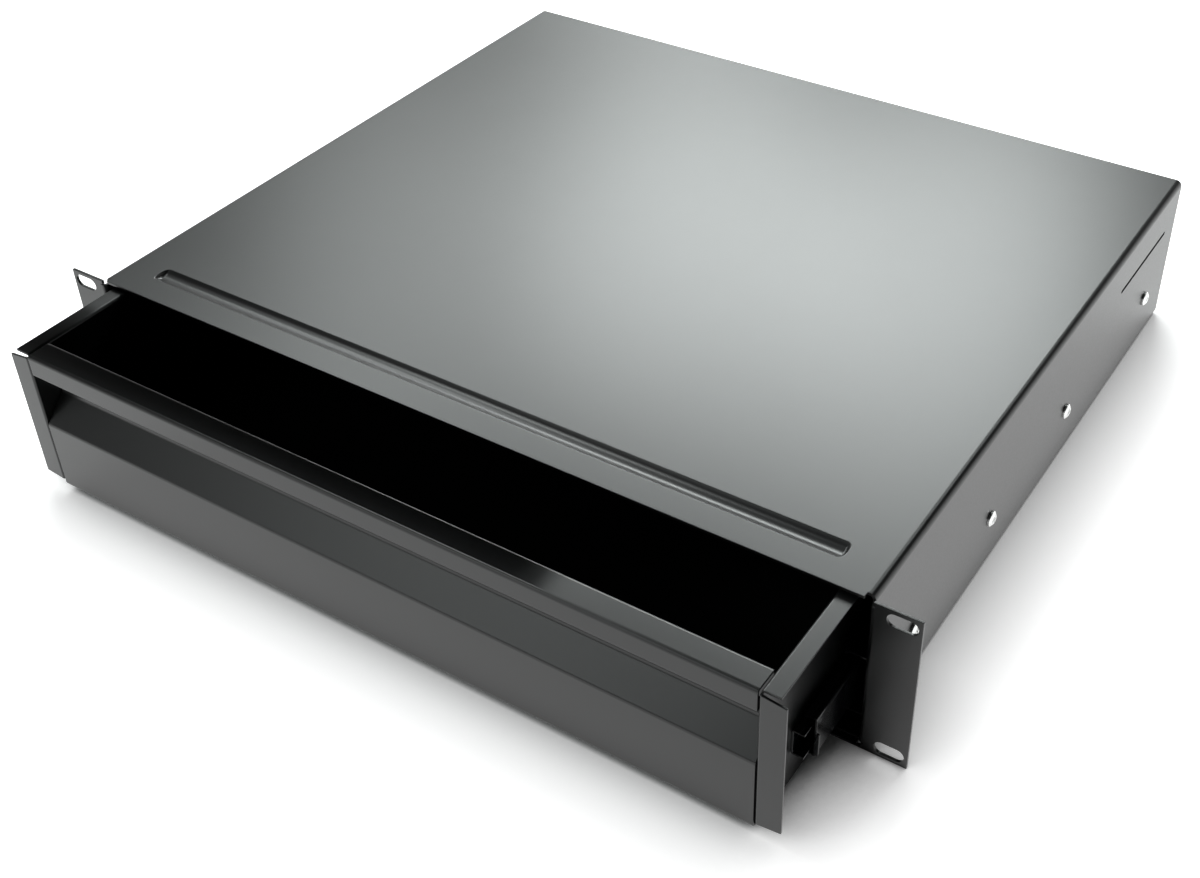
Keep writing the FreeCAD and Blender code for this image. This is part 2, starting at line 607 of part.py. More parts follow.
def balls(name, side, race, row, ball, ball_x, shift):
    members = []
    count = int(number("balls_per_row"))
    for step in range(count):
        for level in (1, -1):
            sphere = doc.addObject("Part::Sphere", f"ball_{race}_{name}")
            bind(sphere, "Radius", f"{ball} / 2")
            bind(sphere, "Placement.Base.x", f"{side} * {ball_x}")
            bind(sphere, "Placement.Base.y", f"{CAGE_START} - {shift} + cage_end + {step} * "
                 f"({CAGE_LONG} - 2 * cage_end) / (balls_per_row - 1)")
            bind(sphere, "Placement.Base.z", f"{AXIS} + {level} * {row}")
            members.append(sphere)
    return group(f"balls_{race}_{name}", members)


def screws(name, side, seat, way, length, places):
    """Pan-head screws through a wall: seat is the wall's face, way points out of it."""
    members = []
    for place in places:
        shank = doc.addObject("Part::Cylinder", f"{name}_shank")
        bind(shank, "Radius", "screw_size / 2")
        bind(shank, "Height", length)
        head = doc.addObject("Part::Cylinder", f"{name}_flange")
        bind(head, "Radius", "head_size / 2")
        bind(head, "Height", "head_rim")
        crown = doc.addObject("Part::Cone", f"{name}_crown")
        bind(crown, "Radius1", "head_size / 2")
        bind(crown, "Radius2", "crown_size / 2")
        bind(crown, "Height", "head_high - head_rim")
        bind(crown, "Placement.Base.z", "head_rim")
        bind(shank, "Placement.Base.z", f"-({length})")
        bars = []
        for turn in (0, 1):
            bar = doc.addObject("Part::Box", f"{name}_bar")
            bind(bar, "Length", "cross_long")
            bind(bar, "Width", "cross_wide")
            bind(bar, "Height", "head_high")
            bar.Placement = Placement(Vector(), Rotation(Vector(0, 0, 1), 90 * turn))
            bind(bar, "Placement.Base.x", "cross_wide / 2" if turn else "-cross_long / 2")
            bind(bar, "Placement.Base.y", "-cross_long / 2" if turn else "-cross_wide / 2")
            bind(bar, "Placement.Base.z", "cross_floor")
            bars.append(bar)
        whole = doc.addObject("Part::MultiFuse", f"{name}_whole")
        whole.Shapes = [shank, head, crown]
        cross = doc.addObject("Part::MultiFuse", f"{name}_cross")
        cross.Shapes = bars
        screw = doc.addObject("Part::Cut", f"{name}_screw")
        screw.Base = whole
        screw.Tool = cross
        screw.Placement = Placement(Vector(), Rotation(Vector(0, 1, 0), 90 * way * side))
        bind(screw, "Placement.Base.x", f"{side} * ({seat})")
        bind(screw, "Placement.Base.y", place)
        bind(screw, "Placement.Base.z", AXIS)
        members.append(screw)
    return group(name, members)


def slide_bumper(name, side):
    """Rubber block in the rear end of the case member, which stops the drawer softly."""
    body = new_body(f"slide_bumper_{name}")
    web = f"({CASE_IN} - slide_sheet)"
    outline = new_sketch(body, f"bumper_outline_{name}", "XY_Plane", f"{AXIS} - bumper_high / 2")
    rectangle(outline, f"{side} * {web}", f"{side} * ({web} - bumper_thick)",
              f"{SLIDE_END} - bumper_long", SLIDE_END)
    pad(body, outline, "bumper_high")
    bend(body, Z_AXIS, [(f"{side} * ({web} - bumper_thick)", f"{SLIDE_END} - bumper_long")],
         "bumper_round")
    return body


# ---------------------------------------------------------------- drawer
def drawer_tray():
    """Floor and walls folded from one blank, with outward rims and front flanges."""
    body = new_body("drawer_tray")
    rim_out = f"({TRAY_IN} + rim_wide)"
    top = TRAY_TOP
    strip_top = f"({top} - strip_short)"
    start = f"({FACE} + tray_sheet)"
    section = new_sketch(body, "tray_section", "XZ_Plane", f"-{start}")
    under = [(TRAY_OUT, TRAY_FLOOR), (TRAY_OUT, f"{top} - tray_sheet"),
             (rim_out, f"{top} - tray_sheet"), (rim_out, top), (TRAY_IN, top),
             (TRAY_IN, f"{TRAY_FLOOR} + tray_sheet")]
    left = [(f"-({across})", along) for across, along in reversed(under)]
    polygon(section, under + left)
    pad(body, section, f"{TRAY_DEPTH} - tray_sheet", way=REARWARD)

    for name, side in HANDS.items():
        strip = new_sketch(body, f"front_strip_{name}", "XZ_Plane", f"-{FACE}")
        inner = f"{side} * {TRAY_IN}"
        outer = f"{side} * ({TRAY_IN} + strip_wide)"
        polygon(strip, [(inner, f"{FLOOR} + strip_under"),
                        (outer, f"{FLOOR} + strip_under + strip_taper"),
                        (outer, f"{strip_top} - strip_taper"), (inner, strip_top)])
        pad(body, strip, "tray_sheet", way=REARWARD)
        relief = new_sketch(body, f"rim_relief_{name}", "XZ_Plane", f"-{start}")
        rectangle(relief, f"{side} * ({TRAY_IN} - overcut)", f"{side} * ({rim_out} + overcut)",
                  strip_top, f"{top} + overcut")
        pocket(body, relief, "rim_relief", way=REARWARD)

    lip = new_sketch(body, "front_lip", "XY_Plane", TRAY_FLOOR)
    rectangle(lip, f"-({TRAY_IN} - lip_side)", f"{TRAY_IN} - lip_side", start,
              f"{start} + tray_sheet")
    pad(body, lip, "recess_foot - lip_under - tray_under")
    ease = new_sketch(body, "front_ease", "YZ_Plane")
    cut = "(front_bend - tray_sheet - ease_short)"
    polygon(ease, [(start, TRAY_FLOOR), (f"{start} + {cut}", TRAY_FLOOR), (start, f"{TRAY_FLOOR} + {cut}")])
    pocket(body, ease, "", midplane=True, through=True)

    sides = (1, -1)
    inside = f"{TRAY_FLOOR} + tray_sheet"
    bend(body, Y_AXIS, [(f"{side} * {TRAY_OUT}", TRAY_FLOOR) for side in sides], "tray_bend")
    bend(body, Y_AXIS, [(f"{side} * {TRAY_IN}", inside) for side in sides], "tray_bend - tray_sheet")
    bend(body, Y_AXIS, [(f"{side} * {TRAY_IN}", top) for side in sides], "tray_bend")
    bend(body, Y_AXIS, [(f"{side} * {TRAY_OUT}", f"{top} - tray_sheet") for side in sides],
         "tray_bend - tray_sheet")
    bend(body, Z_AXIS, [(f"{side} * {TRAY_IN}", FACE) for side in sides], "strip_bend")

    holes = new_sketch(body, "tray_holes", "YZ_Plane")
    for place in DRAWER_SCREWS:
        circle(holes, place, AXIS, "screw_size + 2 * hole_play")
    pocket(body, holes, "", midplane=True, through=True)
    return body


def drawer_back():
    """Rear wall of the drawer, a pan whose rim is welded inside the tray."""
    body = new_body("drawer_back")
    rear = f"({FACE} + {TRAY_DEPTH})"
    low = f"({TRAY_FLOOR} + tray_sheet)"
    block = new_sketch(body, "back_block", "XZ_Plane", f"-({rear} - back_flange)")
    rectangle(block, f"-{TRAY_IN}", TRAY_IN, low, f"{TRAY_TOP} - back_under")
    pad(body, block, "back_flange", way=REARWARD)
    bend(body, Y_AXIS, [(f"{side} * {TRAY_IN}", low) for side in (1, -1)], "tray_bend - tray_sheet")
    hollow = new_sketch(body, "back_hollow", "XZ_Plane", f"-({rear} - back_flange)")
    rectangle(hollow, f"-({TRAY_IN} - tray_sheet)", f"{TRAY_IN} - tray_sheet",
              f"{low} + tray_sheet", f"{TRAY_TOP} - back_under + overcut")
    pocket(body, hollow, "back_flange - tray_sheet", way=REARWARD)
    return body


def front_panel():
    """Front folded from one sheet: foot, lower face, sloping finger recess, pull band."""
    body = new_body("front_panel")
    half = f"({TRAY_IN} - front_gap)"
    top = TRAY_TOP
    low = f"({FLOOR} + front_under)"
    foot = f"({FLOOR} + recess_foot)"
    shoulder = f"({foot} + recess_deep * tan(recess_slope))"
    kink = f"tray_sheet * tan((90 - recess_slope) / 2)"
    pull = f"({TRAY_TOP} - pull_high)"
    back_face = f"({FACE} + recess_deep + tray_sheet)"
    skin = [
        (f"{FACE} + front_return", low),
        (FACE, low),
        (FACE, foot),
        (f"{FACE} + recess_deep", shoulder),
        (f"{FACE} + recess_deep", f"{top} - tray_sheet"),
        (f"{FACE} + tray_sheet", f"{top} - tray_sheet"),
        (f"{FACE} + tray_sheet", f"{pull} + pull_hem"),
        (f"{FACE} + pull_thick", f"{pull} + pull_hem"),
        (f"{FACE} + pull_thick", pull),
        (FACE, pull),
        (FACE, top),
        (back_face, top),
        (back_face, f"{shoulder} - {kink}"),
        (f"{FACE} + tray_sheet", f"{foot} - {kink}"),
        (f"{FACE} + tray_sheet", f"{low} + tray_sheet"),
        (f"{FACE} + front_return", f"{low} + tray_sheet"),
    ]
    section = new_sketch(body, "front_section", "YZ_Plane", f"-{half}")
    polygon(section, skin)
    pad(body, section, f"2 * {half}")
    bend(body, X_AXIS, [(FACE, low)], "front_bend")
    bend(body, X_AXIS, [skin[14]], "front_bend - tray_sheet")
    bend(body, X_AXIS, [(FACE, foot)], "front_bend")
    bend(body, X_AXIS, [skin[13]], "front_bend - tray_sheet")
    bend(body, X_AXIS, [skin[3], skin[12]], "front_bend")
    bend(body, X_AXIS, [(FACE, top), (back_face, top)], "pull_bend")
    bend(body, X_AXIS, [skin[4], skin[5]], "pull_bend - tray_sheet")
    bend(body, X_AXIS, [skin[8], skin[9]], "tray_sheet")
    return body


# ---------------------------------------------------------------- release levers
def release_lever(name, side):
    """Plastic lever in the drawer member that lets the drawer lift off its slides."""
    body = new_body(f"release_lever_{name}")
    pivot = f"({FACE} + lever_pivot)"
    face = f"{side} * ({TRAY_OUT} + slide_sheet + lever_play)"
    outline = new_sketch(body, f"lever_outline_{name}", "YZ_Plane", face)
    grip = (f"{pivot} - lever_front", f"{AXIS} - lever_grip_low")
    grip_top = (grip[0], f"{AXIS} + lever_grip_high")
    catch = (f"{pivot} + lever_rear", f"{AXIS} - lever_catch_low")
    catch_top = (catch[0], f"{AXIS} + lever_catch_high")
    polygon(outline, [grip, (f"{pivot} - lever_front / 2", f"{AXIS} - lever_high / 2"),
                      (f"{pivot} + lever_rear / 2", f"{AXIS} - lever_high / 2"), catch, catch_top,
                      (f"{pivot} + lever_rear / 3", f"{AXIS} + lever_high / 2"),
                      (f"{pivot} - lever_front / 2", f"{AXIS} + lever_high / 2"), grip_top])
    pad(body, outline, "lever_thick", way=side)
    hole = new_sketch(body, f"lever_hole_{name}", "YZ_Plane", face)
    circle(hole, pivot, AXIS, "pin_size + 2 * hole_play")
    pocket(body, hole, "lever_thick", way=side)
    bend(body, X_AXIS, [grip, grip_top, catch, catch_top], "lever_round")
    return body


def lever_pin(name, side):
    """Shouldered rivet that the lever turns on, set in the drawer member's web."""
    shank = doc.addObject("Part::Cylinder", f"pin_shank_{name}")
    bind(shank, "Radius", "pin_size / 2")
    bind(shank, "Height", "slide_sheet + lever_play + lever_thick + pin_play")
    head = doc.addObject("Part::Cylinder", f"pin_head_{name}")
    bind(head, "Radius", "pin_size")
    bind(head, "Height", "pin_head")
    bind(head, "Placement.Base.z", "slide_sheet + lever_play + lever_thick + pin_play")
    pin = doc.addObject("Part::MultiFuse", f"lever_pin_{name}")
    pin.Label = f"lever_pin_{name}"
    pin.Shapes = [shank, head]
    pin.Placement = Placement(Vector(), Rotation(Vector(0, 1, 0), 90 * side))
    bind(pin, "Placement.Base.x", f"{side} * {TRAY_OUT}")
    bind(pin, "Placement.Base.y", f"{FACE} + lever_pivot")
    bind(pin, "Placement.Base.z", AXIS)
    return pin


# ---------------------------------------------------------------- the whole drawer
def build():
    shell = case_shell()
    cover_bead(shell)
    nodes = [shell, base_plate(), rear_panel(), drawer_tray(), drawer_back(), front_panel()]
    for name, side in HANDS.items():
        nodes += [
            outer_slide(name, side),
            middle_slide(name, side),
            drawer_slide(name, side),
            ball_cage(name, side, "outer", OUTER_CAGE_BACK, OUTER_ROW, "outer_ball", OUTER_BALL_X,
                      "drawer_open / 4"),
            ball_cage(name, side, "inner", INNER_CAGE_BACK, INNER_ROW, "inner_ball", INNER_BALL_X,
                      "drawer_open * 3 / 4"),
            balls(name, side, "outer", OUTER_ROW, "outer_ball", OUTER_BALL_X, "drawer_open / 4"),
            balls(name, side, "inner", INNER_ROW, "inner_ball", INNER_BALL_X, "drawer_open * 3 / 4"),
            screws(f"case_screws_{name}", side, CASE_OUT, 1, "case_sheet + slide_sheet", CASE_SCREWS),
            screws(f"drawer_screws_{name}", side, TRAY_IN, -1, "tray_sheet + slide_sheet",
                   DRAWER_SCREWS),
            slide_bumper(name, side),
            release_lever(name, side),
            lever_pin(name, side),
        ]
    doc.recompute()
    return nodes


def check(nodes):
    for item in doc.Objects:
        if "Invalid" in item.State or "Error" in item.State:
            raise RuntimeError(f"{item.Name} failed: {item.State}")
    for node in nodes:
        if node.Shape.isNull() or not node.Shape.isValid():
            raise RuntimeError(f"{node.Label} has no valid shape")


os.makedirs("parts", exist_ok=True)
NODES = build()
check(NODES)
for node in NODES:
    node.Shape.exportStep(f"parts/{node.Label}.step")
    box = node.Shape.BoundBox
    print(f"{node.Label:24s} solids {len(node.Shape.Solids):2d} volume {node.Shape.Volume:10.1f} "
          f"x {box.XMin:7.1f}..{box.XMax:6.1f} y {box.YMin:6.1f}..{box.YMax:6.1f} "
          f"z {box.ZMin:6.1f}..{box.ZMax:6.1f}")
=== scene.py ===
import json
import math

import bmesh
import bpy
from mathutils import Matrix, Vector

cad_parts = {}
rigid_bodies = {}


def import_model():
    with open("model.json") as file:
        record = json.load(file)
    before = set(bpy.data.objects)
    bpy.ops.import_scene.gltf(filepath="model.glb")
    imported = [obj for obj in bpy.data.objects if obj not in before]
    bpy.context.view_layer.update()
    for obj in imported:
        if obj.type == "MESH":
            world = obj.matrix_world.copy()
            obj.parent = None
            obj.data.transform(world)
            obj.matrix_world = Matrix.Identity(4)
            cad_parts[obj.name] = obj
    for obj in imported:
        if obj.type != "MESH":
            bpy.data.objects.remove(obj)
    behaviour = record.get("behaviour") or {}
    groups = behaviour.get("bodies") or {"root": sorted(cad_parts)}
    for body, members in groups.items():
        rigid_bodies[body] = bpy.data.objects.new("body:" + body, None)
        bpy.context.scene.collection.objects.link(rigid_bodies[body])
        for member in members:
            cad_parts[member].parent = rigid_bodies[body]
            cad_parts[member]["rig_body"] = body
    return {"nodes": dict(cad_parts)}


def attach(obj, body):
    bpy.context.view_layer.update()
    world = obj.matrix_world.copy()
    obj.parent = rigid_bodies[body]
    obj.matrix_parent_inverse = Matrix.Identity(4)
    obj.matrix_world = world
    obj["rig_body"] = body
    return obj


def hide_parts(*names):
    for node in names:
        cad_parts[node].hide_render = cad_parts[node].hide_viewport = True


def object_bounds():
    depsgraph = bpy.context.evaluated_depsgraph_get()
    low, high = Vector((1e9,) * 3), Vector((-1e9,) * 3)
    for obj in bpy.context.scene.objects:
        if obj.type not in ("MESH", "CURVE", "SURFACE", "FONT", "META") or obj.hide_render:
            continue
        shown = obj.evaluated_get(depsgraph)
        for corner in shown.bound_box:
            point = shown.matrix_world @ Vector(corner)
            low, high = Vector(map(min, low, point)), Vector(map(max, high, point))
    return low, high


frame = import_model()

MM = 0.001
cad_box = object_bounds()

# ------------------------------------------------------------------ case shell
# The cover, both sides and the two rack ears are one blank of 1.5 mm steel, sheared,
# pressed, slotted and folded, then powder coated black. The coat draws back a little at
# each sheared edge and rounds it, so the edges catch the light as thin lines.


def linear(hex_colour):
    """An sRGB hex colour as linear RGBA."""
    shares = [int(hex_colour[place:place + 2], 16) / 255 for place in (1, 3, 5)]
    bright = [share / 12.92 if share <= 0.04045 else ((share + 0.055) / 1.055) ** 2.4
              for share in shares]
    return (*bright, 1.0)


def node(tree, kind, inputs=None, **settings):
    """Add one node: an input is a value, or another node's output to link from."""
    made = tree.nodes.new(kind)
    for name, value in settings.items():
        setattr(made, name, value)
    for name, value in (inputs or {}).items():
        if isinstance(value, bpy.types.NodeSocket):
            tree.links.new(value, made.inputs[name])
        else:
            made.inputs[name].default_value = value
    return made


def new_material(name):
    """An empty node tree that ends in an output node, and its object coordinates."""
    material = bpy.data.materials.new(name)
    material.use_nodes = True
    tree = material.node_tree
    tree.nodes.clear()
    output = node(tree, "ShaderNodeOutputMaterial")
    coordinates = node(tree, "ShaderNodeTexCoord").outputs["Object"]
    return material, tree, output, coordinates


# Epoxy-polyester powder coat, black with a fine texture. It is a film of clear resin over
# black pigment, so it is dark by itself and shows what it reflects. The grains are about
# 0.4 mm across and are drawn at 0.9 mm, the finest that still shows at this distance. The
# film also flows in soft waves 5 mm long, and is a little thicker in patches of 60 mm.
COAT_GRAIN = 0.9 * MM
COAT_FLOW = 5 * MM
COAT_PATCH = 60 * MM
COLOUR_A, COLOUR_B, MIXED_COLOUR = 6, 7, 2      # the Mix node's sockets for colours
powder_coat, tree, output, place = new_material("satin_black_powder_coat")
grain = node(tree, "ShaderNodeTexNoise", {"Vector": place, "Scale": 1 / COAT_GRAIN, "Detail": 2.0,
                                          "Roughness": 0.6})
flow = node(tree, "ShaderNodeTexNoise", {"Vector": place, "Scale": 1 / COAT_FLOW, "Detail": 1.0})
patch = node(tree, "ShaderNodeTexNoise", {"Vector": place, "Scale": 1 / COAT_PATCH, "Detail": 3.0})
share = node(tree, "ShaderNodeMapRange", {"Value": patch.outputs["Fac"], "From Min": 0.3,
                                          "From Max": 0.7})
pigment = node(tree, "ShaderNodeMix", {"Factor": share.outputs["Result"]}, data_type="RGBA")
pigment.inputs[COLOUR_A].default_value = linear("#131414")
pigment.inputs[COLOUR_B].default_value = linear("#191A1A")
gloss = node(tree, "ShaderNodeMapRange", {"Value": grain.outputs["Fac"], "From Min": 0.3,
                                          "From Max": 0.7, "To Min": 0.28, "To Max": 0.32})
waves = node(tree, "ShaderNodeBump", {"Height": flow.outputs["Fac"], "Strength": 0.5,
                                      "Distance": 0.012 * MM})
grains = node(tree, "ShaderNodeBump", {"Height": grain.outputs["Fac"], "Strength": 0.5,
                                       "Distance": 0.008 * MM, "Normal": waves.outputs["Normal"]})
film = node(tree, "ShaderNodeBsdfPrincipled", {
    "Base Color": pigment.outputs[MIXED_COLOUR], "Roughness": gloss.outputs["Result"],
    "Normal": grains.outputs["Normal"], "IOR": 1.5})
tree.links.new(film.outputs["BSDF"], output.inputs["Surface"])


MERGE_GAP = 0.001 * MM
FLAT_ANGLE = math.radians(0.5)
SHARP_ANGLE = math.radians(50)


def finished(node_name, material, radius):
    """A copy of a CAD node with its sharp edges rounded, which stands for the node."""
    source = frame["nodes"][node_name]
    work = bmesh.new()
    work.from_mesh(source.data)
    bmesh.ops.remove_doubles(work, verts=work.verts, dist=MERGE_GAP)
    bmesh.ops.dissolve_limit(work, angle_limit=FLAT_ANGLE, verts=work.verts,
                             edges=work.edges)
    sharp = [edge for edge in work.edges
             if edge.is_manifold and edge.calc_face_angle() > SHARP_ANGLE]
    bmesh.ops.bevel(work, geom=sharp, offset=radius, offset_type="OFFSET", affect="EDGES",
                    segments=2, profile=0.5, material=-1, clamp_overlap=False)
    for face in work.faces:
        face.smooth = True
    mesh = bpy.data.meshes.new(f"{node_name}_finished")
    work.to_mesh(mesh)
    work.free()
    piece = bpy.data.objects.new(f"{node_name}_finished", mesh)
    bpy.context.scene.collection.objects.link(piece)
    mesh.materials.append(material)
    flats = piece.modifiers.new("flats_stay_flat", "WEIGHTED_NORMAL")
    flats.keep_sharp = True
    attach(piece, source["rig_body"])
    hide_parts(node_name)
    return piece


COAT_EDGE = 0.22 * MM
finished("case_shell", powder_coat, COAT_EDGE)

# ------------------------------------------------------------------ base plate
# A flat 1.2 mm sheet, spot welded under the shell's foot flanges and coated with them.
finished("base_plate", powder_coat, COAT_EDGE)

# ------------------------------------------------------------------ rear panel
# A shallow pan of 1.2 mm steel, welded by its rim inside the shell's rear opening.
finished("rear_panel", powder_coat, COAT_EDGE)

# ------------------------------------------------------------------ case members of the slides
# Roll-formed 1 mm strip with lips that hold the balls in, zinc plated and then passivated
# black, which leaves a smooth dark skin with faint streaks along the rolling direction.
# The streaks are about 0.2 mm wide and are drawn at 0.6 mm, so that they show.
STREAK_WIDE = 0.6 * MM
STREAK_LONG = 40 * MM
SKIN_CLOUD = 12 * MM
black_zinc, tree, output, place = new_material("black_passivated_zinc")
drawn = node(tree, "ShaderNodeMapping", {
    "Vector": place, "Scale": (1 / STREAK_WIDE, 1 / STREAK_LONG, 1 / STREAK_WIDE)})
streak = node(tree, "ShaderNodeTexNoise", {"Vector": drawn.outputs["Vector"], "Scale": 1.0,
                                           "Detail": 3.0, "Roughness": 0.6})
cloud = node(tree, "ShaderNodeTexNoise", {"Vector": place, "Scale": 1 / SKIN_CLOUD, "Detail": 2.0})
skin = node(tree, "ShaderNodeMix", {"Factor": cloud.outputs["Fac"]}, data_type="RGBA")
skin.inputs[COLOUR_A].default_value = linear("#101112")
skin.inputs[COLOUR_B].default_value = linear("#1B1C20")
gloss = node(tree, "ShaderNodeMapRange", {"Value": streak.outputs["Fac"], "From Min": 0.3,
                                          "From Max": 0.7, "To Min": 0.12, "To Max": 0.22})
ridges = node(tree, "ShaderNodeBump", {"Height": streak.outputs["Fac"], "Strength": 0.4,
                                       "Distance": 0.004 * MM})
plate = node(tree, "ShaderNodeBsdfPrincipled", {
    "Base Color": skin.outputs[MIXED_COLOUR], "Roughness": gloss.outputs["Result"],
    "Normal": ridges.outputs["Normal"], "IOR": 1.45})
tree.links.new(plate.outputs["BSDF"], output.inputs["Surface"])

STRIP_EDGE = 0.12 * MM
HANDS = ("right", "left")
for hand in HANDS:
    finished(f"outer_slide_{hand}", black_zinc, STRIP_EDGE)

# ------------------------------------------------------------------ case screws
# M4 pan-head screws with cross recesses, cold headed and bright zinc plated. They hold the
# case members to the case's sides from outside, and are its only bright parts.
ZINC_SPANGLE = 0.5 * MM
bright_zinc, tree, output, place = new_material("bright_zinc_plate")
spangle = node(tree, "ShaderNodeTexNoise", {"Vector": place, "Scale": 1 / ZINC_SPANGLE,
                                            "Detail": 3.0})
tint = node(tree, "ShaderNodeMix", {"Factor": spangle.outputs["Fac"]}, data_type="RGBA")
tint.inputs[COLOUR_A].default_value = linear("#F6F5F0")
tint.inputs[COLOUR_B].default_value = linear("#E8EBED")
dull = node(tree, "ShaderNodeMapRange", {"Value": spangle.outputs["Fac"], "From Min": 0.3,
                                         "From Max": 0.7, "To Min": 0.2, "To Max": 0.38})
dents = node(tree, "ShaderNodeBump", {"Height": spangle.outputs["Fac"], "Strength": 0.4,
                                      "Distance": 0.01 * MM})
plate = node(tree, "ShaderNodeBsdfPrincipled", {
    "Base Color": tint.outputs[MIXED_COLOUR], "Metallic": 1.0, "Roughness": dull.outputs["Result"],
    "Normal": dents.outputs["Normal"]})
tree.links.new(plate.outputs["BSDF"], output.inputs["Surface"])

SCREW_EDGE = 0.15 * MM
for hand in HANDS:
    finished(f"case_screws_{hand}", bright_zinc, SCREW_EDGE)

# ------------------------------------------------------------------ rubber stops
# Small blocks of black rubber in the rear ends of the case members, which end the drawer's
# travel softly. Moulded rubber is dull, with a fine bloom; its specks are drawn at 0.5 mm.
RUBBER_SPECK = 0.5 * MM
rubber, tree, output, place = new_material("moulded_black_rubber")
speck = node(tree, "ShaderNodeTexNoise", {"Vector": place, "Scale": 1 / RUBBER_SPECK,
                                          "Detail": 4.0})
bloom = node(tree, "ShaderNodeMix", {"Factor": speck.outputs["Fac"]}, data_type="RGBA")
bloom.inputs[COLOUR_A].default_value = linear("#0E0E0E")
bloom.inputs[COLOUR_B].default_value = linear("#232322")
dull = node(tree, "ShaderNodeMapRange", {"Value": speck.outputs["Fac"], "To Min": 0.7,
                                         "To Max": 0.9})
pores = node(tree, "ShaderNodeBump", {"Height": speck.outputs["Fac"], "Strength": 0.6,
                                      "Distance": 0.03 * MM})
block = node(tree, "ShaderNodeBsdfPrincipled", {
    "Base Color": bloom.outputs[MIXED_COLOUR], "Roughness": dull.outputs["Result"],
    "Normal": pores.outputs["Normal"], "IOR": 1.52})
tree.links.new(block.outputs["BSDF"], output.inputs["Surface"])

RUBBER_EDGE = 0.3 * MM
for hand in HANDS:
    finished(f"slide_bumper_{hand}", rubber, RUBBER_EDGE)

# ------------------------------------------------------------------ middle members
# The middle member of each slide runs inside the case member and carries the drawer
# member. It is rolled and finished like them, and its front end carries a stop tab.
for hand in HANDS:
    finished(f"middle_slide_{hand}", black_zinc, STRIP_EDGE)

# ------------------------------------------------------------------ ball cages
# Thin strips with a round window for each ball, which keep the balls apart. They are
# passivated black like the members that they roll between.
CAGE_EDGE = 0.06 * MM
for hand in HANDS:
    finished(f"ball_cage_outer_{hand}", black_zinc, CAGE_EDGE)
    finished(f"ball_cage_inner_{hand}", black_zinc, CAGE_EDGE)

# ------------------------------------------------------------------ bearing balls
# Hardened chrome steel, ground to a mirror, with a thin uneven film of grease.
GREASE_PATCH = 1.5 * MM
ball_steel, tree, output, place = new_material("ground_bearing_steel")
grease = node(tree, "ShaderNodeTexNoise", {"Vector": place, "Scale": 1 / GREASE_PATCH,
                                           "Detail": 2.0})
film = node(tree, "ShaderNodeMapRange", {"Value": grease.outputs["Fac"], "From Min": 0.4,
                                         "From Max": 0.7, "To Min": 0.06, "To Max": 0.3})
tint = node(tree, "ShaderNodeMix", {"Factor": grease.outputs["Fac"]}, data_type="RGBA")
tint.inputs[COLOUR_A].default_value = linear("#D9DADB")
tint.inputs[COLOUR_B].default_value = linear("#C2BFB2")
ground = node(tree, "ShaderNodeBsdfPrincipled", {
    "Base Color": tint.outputs[MIXED_COLOUR], "Metallic": 1.0, "Roughness": film.outputs["Result"]})
tree.links.new(ground.outputs["BSDF"], output.inputs["Surface"])


def dress(node_name, material):
    """Give a CAD node that keeps its own shape its real finish."""
    mesh = frame["nodes"][node_name].data
    mesh.materials.clear()
    mesh.materials.append(material)


for hand in HANDS:
    dress(f"balls_outer_{hand}", ball_steel)
    dress(f"balls_inner_{hand}", ball_steel)

# ------------------------------------------------------------------ drawer members
# The drawer member of each slide, with the races of the inner balls, and the screws that
# hold it to the drawer's wall from inside the tray.
for hand in HANDS:
    finished(f"drawer_slide_{hand}", black_zinc, STRIP_EDGE)
    finished(f"drawer_screws_{hand}", bright_zinc, SCREW_EDGE)

# ------------------------------------------------------------------ release levers
# Black nylon levers in the drawer members: pressed, they let the drawer lift off. Each
# turns on a zinc-plated steel rivet. The mould's spark-eroded texture is drawn at 0.4 mm.
SPARK_TEXTURE = 0.4 * MM
nylon, tree, output, place = new_material("moulded_black_nylon")
texture = node(tree, "ShaderNodeTexNoise", {"Vector": place, "Scale": 1 / SPARK_TEXTURE,
                                            "Detail": 3.0})
tone = node(tree, "ShaderNodeMix", {"Factor": texture.outputs["Fac"]}, data_type="RGBA")
tone.inputs[COLOUR_A].default_value = linear("#111112")
tone.inputs[COLOUR_B].default_value = linear("#1D1D1E")
dull = node(tree, "ShaderNodeMapRange", {"Value": texture.outputs["Fac"], "To Min": 0.38,
                                         "To Max": 0.56})
eroded = node(tree, "ShaderNodeBump", {"Height": texture.outputs["Fac"], "Strength": 0.5,
                                       "Distance": 0.02 * MM})
moulded = node(tree, "ShaderNodeBsdfPrincipled", {
    "Base Color": tone.outputs[MIXED_COLOUR], "Roughness": dull.outputs["Result"],
    "Normal": eroded.outputs["Normal"], "IOR": 1.53})
tree.links.new(moulded.outputs["BSDF"], output.inputs["Surface"])

LEVER_EDGE = 0.2 * MM
PIN_EDGE = 0.1 * MM
for hand in HANDS:
    finished(f"release_lever_{hand}", nylon, LEVER_EDGE)
    finished(f"lever_pin_{hand}", bright_zinc, PIN_EDGE)

# ------------------------------------------------------------------ drawer tray
# The floor and walls are one 1.2 mm blank. The walls' rims turn outwards, and at the front
# each wall turns outwards as well, into the strip that covers the slide. Coated black.
finished("drawer_tray", powder_coat, COAT_EDGE)

# ------------------------------------------------------------------ drawer back
# The rear wall of the drawer, a pan welded between the tray's walls and coated with them.
finished("drawer_back", powder_coat, COAT_EDGE)

# ------------------------------------------------------------------ front panel
# One sheet folded into the lower face, the sloping finger recess, the top flange and the
# pull band with its hem, and welded to the tray before coating.
finished("front_panel", powder_coat, COAT_EDGE)

